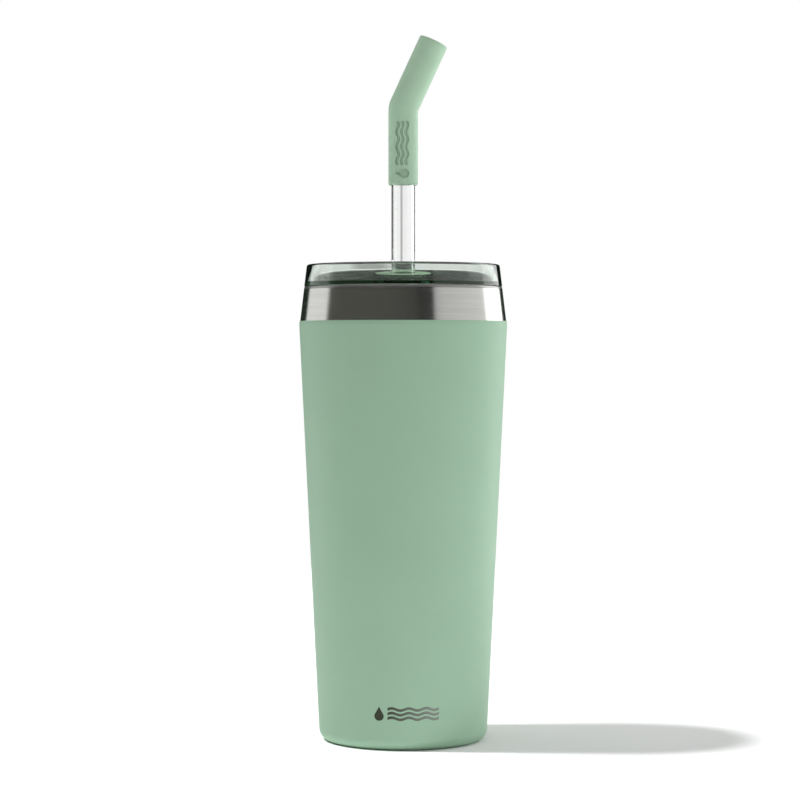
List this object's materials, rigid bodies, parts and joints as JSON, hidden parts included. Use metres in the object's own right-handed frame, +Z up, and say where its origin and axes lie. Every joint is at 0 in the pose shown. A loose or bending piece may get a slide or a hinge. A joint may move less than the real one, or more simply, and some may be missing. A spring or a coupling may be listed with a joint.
{
  "type": "insulated tumbler with lid",
  "caption": "Insulated double-wall tumbler with a clear press-in lid, a glass straw through a soft grommet, and a bent silicone mouthpiece.",
  "frame": {"origin": "centre of the standing ring, on the surface that the tumbler stands on", "axes": "+Z up along the cup's axis, +X towards the side that the mouthpiece bends to, -Y the marked front"},
  "size_m": [0.0842, 0.0842, 0.2847],
  "materials": {
    "outer_steel": "fine brushing round the cup",
    "body_paint": "satin powder coat with a fine orange-peel texture",
    "liner_steel": "satin, electropolished",
    "shield_foil": "bright foil",
    "plate_steel": "satin pressed sheet",
    "seal_frit": "glossy fused bead",
    "getter_alloy": "matt sintered metal",
    "lid_plastic": "clear moulded plastic with a faint green-grey tint",
    "seal_silicone": "matt silicone",
    "grommet_silicone": "matt silicone",
    "straw_glass": "clear polished glass",
    "mouthpiece_silicone": "soft matt silicone"
  },
  "bodies": {
    "cup": {"outer_shell": "outer_steel", "powder_coat": "body_paint", "inner_liner": "liner_steel", "heat_shield": "shield_foil", "bottom_cap": "plate_steel", "vacuum_seal": "seal_frit", "base_disc": "plate_steel", "getter": "getter_alloy", "getter_clip": "plate_steel"},
    "lid": {"lid_body": "lid_plastic", "lid_seal": "seal_silicone"},
    "grommet": {"straw_grommet": "grommet_silicone"},
    "straw": {"glass_straw": "straw_glass"},
    "mouthpiece": {"mouthpiece": "mouthpiece_silicone"}
  },
  "joints": [
    {"name": "lid_lift", "type": "slide", "parent": "cup", "child": "lid", "axis": [0, 0, 1], "range_m": [0, 0.19]},
    {"name": "straw_turn", "type": "hinge", "parent": "lid", "child": "grommet", "pos_m": [0, 0, 0.185], "axis": [0, 0, 1], "continuous": true},
    {"name": "straw_slide", "type": "slide", "parent": "grommet", "child": "straw", "axis": [0, 0, 1], "range_m": [0, 0.19]},
    {"name": "mouthpiece_pull", "type": "slide", "parent": "straw", "child": "mouthpiece", "axis": [0, 0, 1], "range_m": [0, 0.03]}
  ]
}
